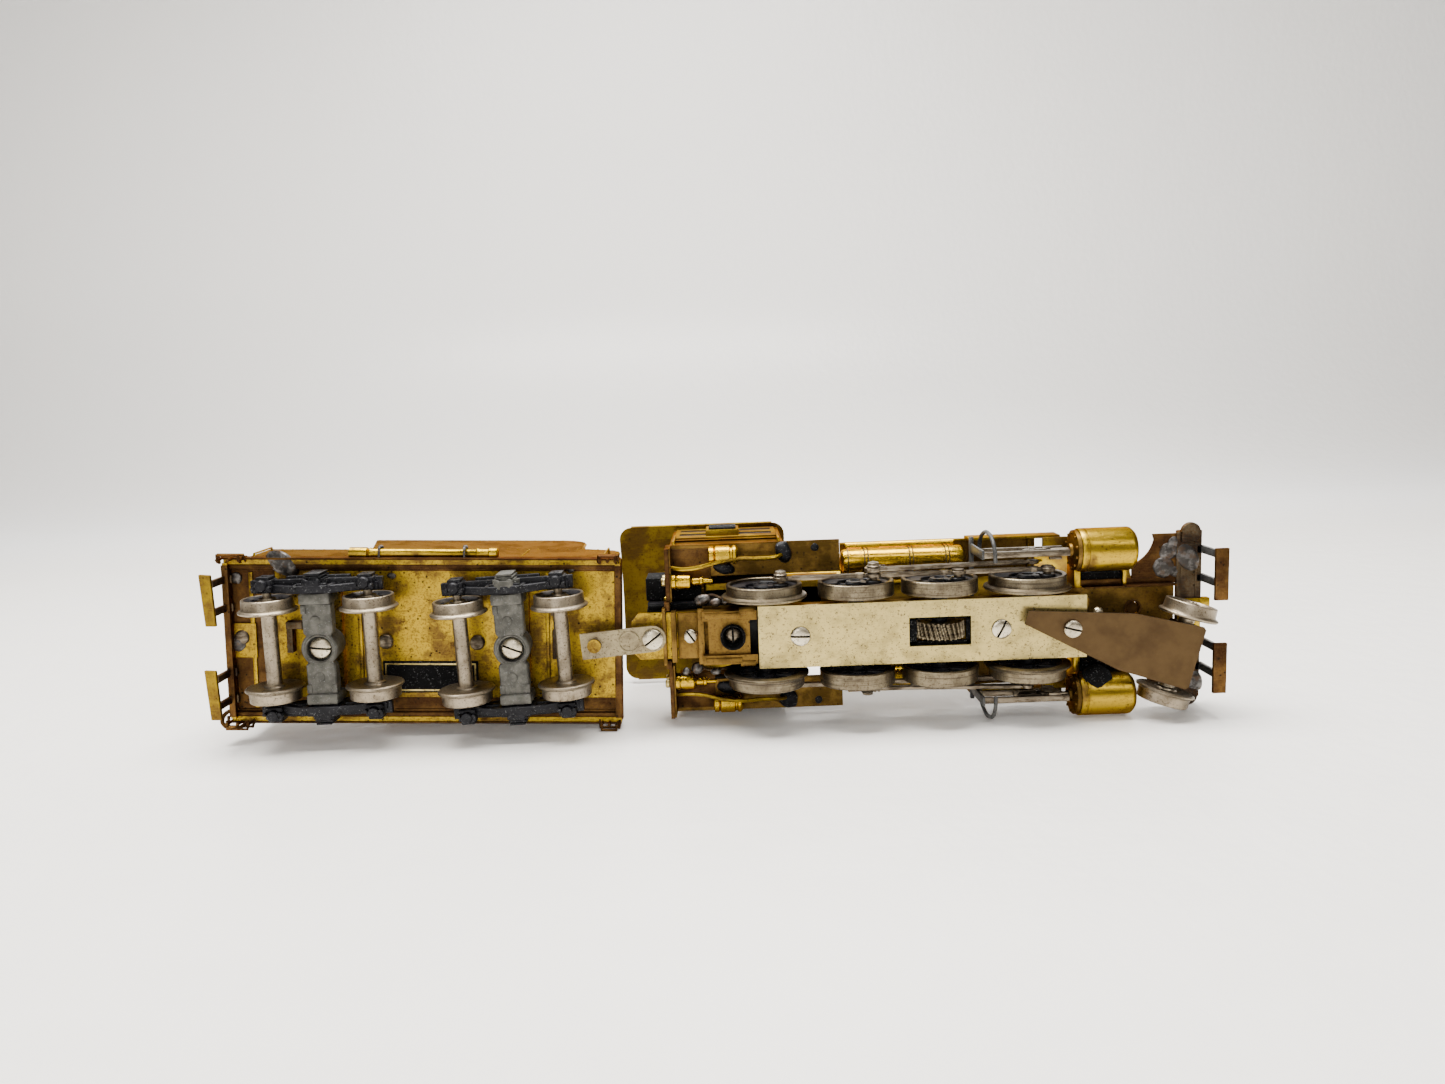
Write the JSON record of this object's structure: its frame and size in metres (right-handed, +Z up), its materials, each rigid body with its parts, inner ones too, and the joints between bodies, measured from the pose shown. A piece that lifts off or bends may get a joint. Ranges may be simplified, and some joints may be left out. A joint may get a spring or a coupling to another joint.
{
  "type": "model steam locomotive",
  "caption": "Brass scale model steam locomotive with coupled drivers, rods, worm drive and a swivelling pilot truck, pulling a tender on two swivelling trucks.",
  "frame": {"origin": "bottom centre of the bounding box, on the flange tips of the drivers", "axes": "+X forward along the engine, +Y to its left, +Z up"},
  "size_m": [0.1962, 0.0368, 0.0502],
  "materials": {
    "brass": "worn satin, patinated",
    "nickel_silver": "dull plated",
    "steel": "ground satin",
    "bronze": "smooth dark satin",
    "grey_casting": "rough as cast",
    "black_paint": "satin black"
  },
  "bodies": {
    "engine": {"main_frame": "brass", "keeper_plate": "nickel_silver", "keeper_screw_rear": "nickel_silver", "keeper_screw_front": "nickel_silver", "pilot_truck_screw": "nickel_silver", "drawbar_bracket": "brass", "drawbar_screw": "nickel_silver", "boiler": "brass", "smoke_stack": "brass", "cab": "brass", "cab_roof": "brass", "running_board_left": "brass", "running_board_right": "brass", "air_tank_left": "brass", "air_tank_right": "brass", "pilot_deck": "brass", "guide_yoke": "steel", "cylinder_left": "brass", "cylinder_right": "brass", "motor_frame": "black_paint"},
    "driver_1": {"driver_1_wheelset": "black_paint", "driver_1_tyre_left": "nickel_silver", "driver_1_tyre_right": "nickel_silver"},
    "driver_2": {"driver_2_wheelset": "black_paint", "driver_2_tyre_left": "nickel_silver", "driver_2_tyre_right": "nickel_silver"},
    "driver_3": {"driver_3_wheelset": "black_paint", "driver_3_tyre_left": "nickel_silver", "driver_3_tyre_right": "nickel_silver", "drive_gear": "steel"},
    "driver_4": {"driver_4_wheelset": "black_paint", "driver_4_tyre_left": "nickel_silver", "driver_4_tyre_right": "nickel_silver"},
    "left_side_rod": {"side_rod_left": "steel"},
    "right_side_rod": {"side_rod_right": "steel"},
    "left_main_rod": {"main_rod_left": "steel"},
    "right_main_rod": {"main_rod_right": "steel"},
    "left_crosshead": {"crosshead_left": "steel"},
    "right_crosshead": {"crosshead_right": "steel"},
    "armature": {"motor_armature": "steel"},
    "pilot_truck": {"pilot_truck_arm": "bronze"},
    "pilot_axle": {"pilot_wheelset": "nickel_silver"},
    "drawbar": {"drawbar": "nickel_silver"},
    "tender": {"tender_floor": "brass", "tender_tank": "brass", "rear_footboard_left": "brass", "rear_footboard_right": "brass", "kingpin_screw_front": "nickel_silver", "kingpin_screw_rear": "nickel_silver"},
    "front_truck": {"truck_bolster_front": "grey_casting", "truck_frame_front_left": "black_paint", "truck_frame_front_right": "black_paint"},
    "rear_truck": {"truck_bolster_rear": "grey_casting", "truck_frame_rear_left": "black_paint", "truck_frame_rear_right": "black_paint"},
    "front_truck_axle_a": {"tender_wheelset_front_a": "nickel_silver"},
    "front_truck_axle_b": {"tender_wheelset_front_b": "nickel_silver"},
    "rear_truck_axle_a": {"tender_wheelset_rear_a": "nickel_silver"},
    "rear_truck_axle_b": {"tender_wheelset_rear_b": "nickel_silver"}
  },
  "joints": [
    {"name": "driver_2_spin", "type": "hinge", "parent": "engine", "child": "driver_2", "pos_m": [0.02824, 0, 0.0083], "axis": [0, 1, 0], "continuous": true},
    {"name": "driver_1_spin", "type": "hinge", "parent": "engine", "child": "driver_1", "pos_m": [0.01054, 0, 0.0083], "axis": [0, 1, 0], "continuous": true},
    {"name": "driver_3_spin", "type": "hinge", "parent": "engine", "child": "driver_3", "pos_m": [0.04434, 0, 0.0083], "axis": [0, 1, 0], "continuous": true},
    {"name": "driver_4_spin", "type": "hinge", "parent": "engine", "child": "driver_4", "pos_m": [0.06134, 0, 0.0083], "axis": [0, 1, 0], "continuous": true},
    {"name": "left_side_rod_pin", "type": "hinge", "parent": "driver_2", "child": "left_side_rod", "pos_m": [0.03053, 0.01115, 0.01145], "axis": [0, 1, 0], "continuous": true},
    {"name": "right_side_rod_pin", "type": "hinge", "parent": "driver_2", "child": "right_side_rod", "pos_m": [0.03139, -0.01115, 0.00601], "axis": [0, 1, 0], "continuous": true},
    {"name": "left_main_rod_pin", "type": "hinge", "parent": "driver_2", "child": "left_main_rod", "pos_m": [0.03053, 0.0123, 0.01145], "axis": [0, 1, 0], "continuous": true},
    {"name": "right_main_rod_pin", "type": "hinge", "parent": "driver_2", "child": "right_main_rod", "pos_m": [0.03139, -0.0123, 0.00601], "axis": [0, 1, 0], "continuous": true},
    {"name": "armature_spin", "type": "hinge", "parent": "engine", "child": "armature", "pos_m": [0.00554, 0, 0.018], "axis": [0.9972, 0, -0.0745], "continuous": true},
    {"name": "left_crosshead_slide", "type": "slide", "parent": "engine", "child": "left_crosshead", "axis": [1, 0, 0], "range_m": [-0.00603, 0.00177]},
    {"name": "right_crosshead_slide", "type": "slide", "parent": "engine", "child": "right_crosshead", "axis": [1, 0, 0], "range_m": [-0.00697, 0.00083]},
    {"name": "pilot_truck_swing", "type": "hinge", "parent": "engine", "child": "pilot_truck", "pos_m": [0.06844, 0, 0.0034], "axis": [0, 0, 1], "range_deg": [-31, 0.5]},
    {"name": "pilot_axle_spin", "type": "hinge", "parent": "pilot_truck", "child": "pilot_axle", "pos_m": [0.0893, 0.00598, 0.00575], "axis": [-0.2756, 0.9613, 0], "continuous": true},
    {"name": "drawbar_swing", "type": "hinge", "parent": "engine", "child": "drawbar", "pos_m": [-0.01126, 0, 0.0079], "axis": [0, 0, 1], "range_deg": [-7.5, 16.5]},
    {"name": "tender_swing", "type": "hinge", "parent": "drawbar", "child": "tender", "pos_m": [-0.02262, 0.00089, 0.0079], "axis": [0, 0, 1], "range_deg": [-18, 5]},
    {"name": "front_truck_swivel", "type": "hinge", "parent": "tender", "child": "front_truck", "pos_m": [-0.03806, 0.00027, 0], "axis": [0, 0, 1], "range_deg": [-3.9, 12.1]},
    {"name": "rear_truck_swivel", "type": "hinge", "parent": "tender", "child": "rear_truck", "pos_m": [-0.07463, -0.00119, 0], "axis": [0, 0, 1], "range_deg": [-5.8, 10.2]},
    {"name": "front_truck_axle_a_spin", "type": "hinge", "parent": "front_truck", "child": "front_truck_axle_a", "pos_m": [-0.02842, -0.00003, 0.00575], "axis": [0.0314, 0.9995, 0], "continuous": true},
    {"name": "front_truck_axle_b_spin", "type": "hinge", "parent": "front_truck", "child": "front_truck_axle_b", "pos_m": [-0.04771, 0.00058, 0.00575], "axis": [0.0314, 0.9995, 0], "continuous": true},
    {"name": "rear_truck_axle_a_spin", "type": "hinge", "parent": "rear_truck", "child": "rear_truck_axle_a", "pos_m": [-0.06498, -0.00118, 0.00575], "axis": [-0.0017, 1, 0], "continuous": true},
    {"name": "rear_truck_axle_b_spin", "type": "hinge", "parent": "rear_truck", "child": "rear_truck_axle_b", "pos_m": [-0.08428, -0.00121, 0.00575], "axis": [-0.0017, 1, 0], "continuous": true}
  ],
  "couplings": [
    {"joint": "driver_1_spin", "follows": "driver_2_spin", "ratio": 1},
    {"joint": "driver_3_spin", "follows": "driver_2_spin", "ratio": 1},
    {"joint": "driver_4_spin", "follows": "driver_2_spin", "ratio": 1},
    {"joint": "left_side_rod_pin", "follows": "driver_2_spin", "ratio": -1},
    {"joint": "left_main_rod_pin", "follows": "driver_2_spin", "ratio": -1},
    {"joint": "right_side_rod_pin", "follows": "driver_2_spin", "ratio": -1},
    {"joint": "right_main_rod_pin", "follows": "driver_2_spin", "ratio": -1},
    {"joint": "armature_spin", "follows": "driver_2_spin", "ratio": 26}
  ]
}
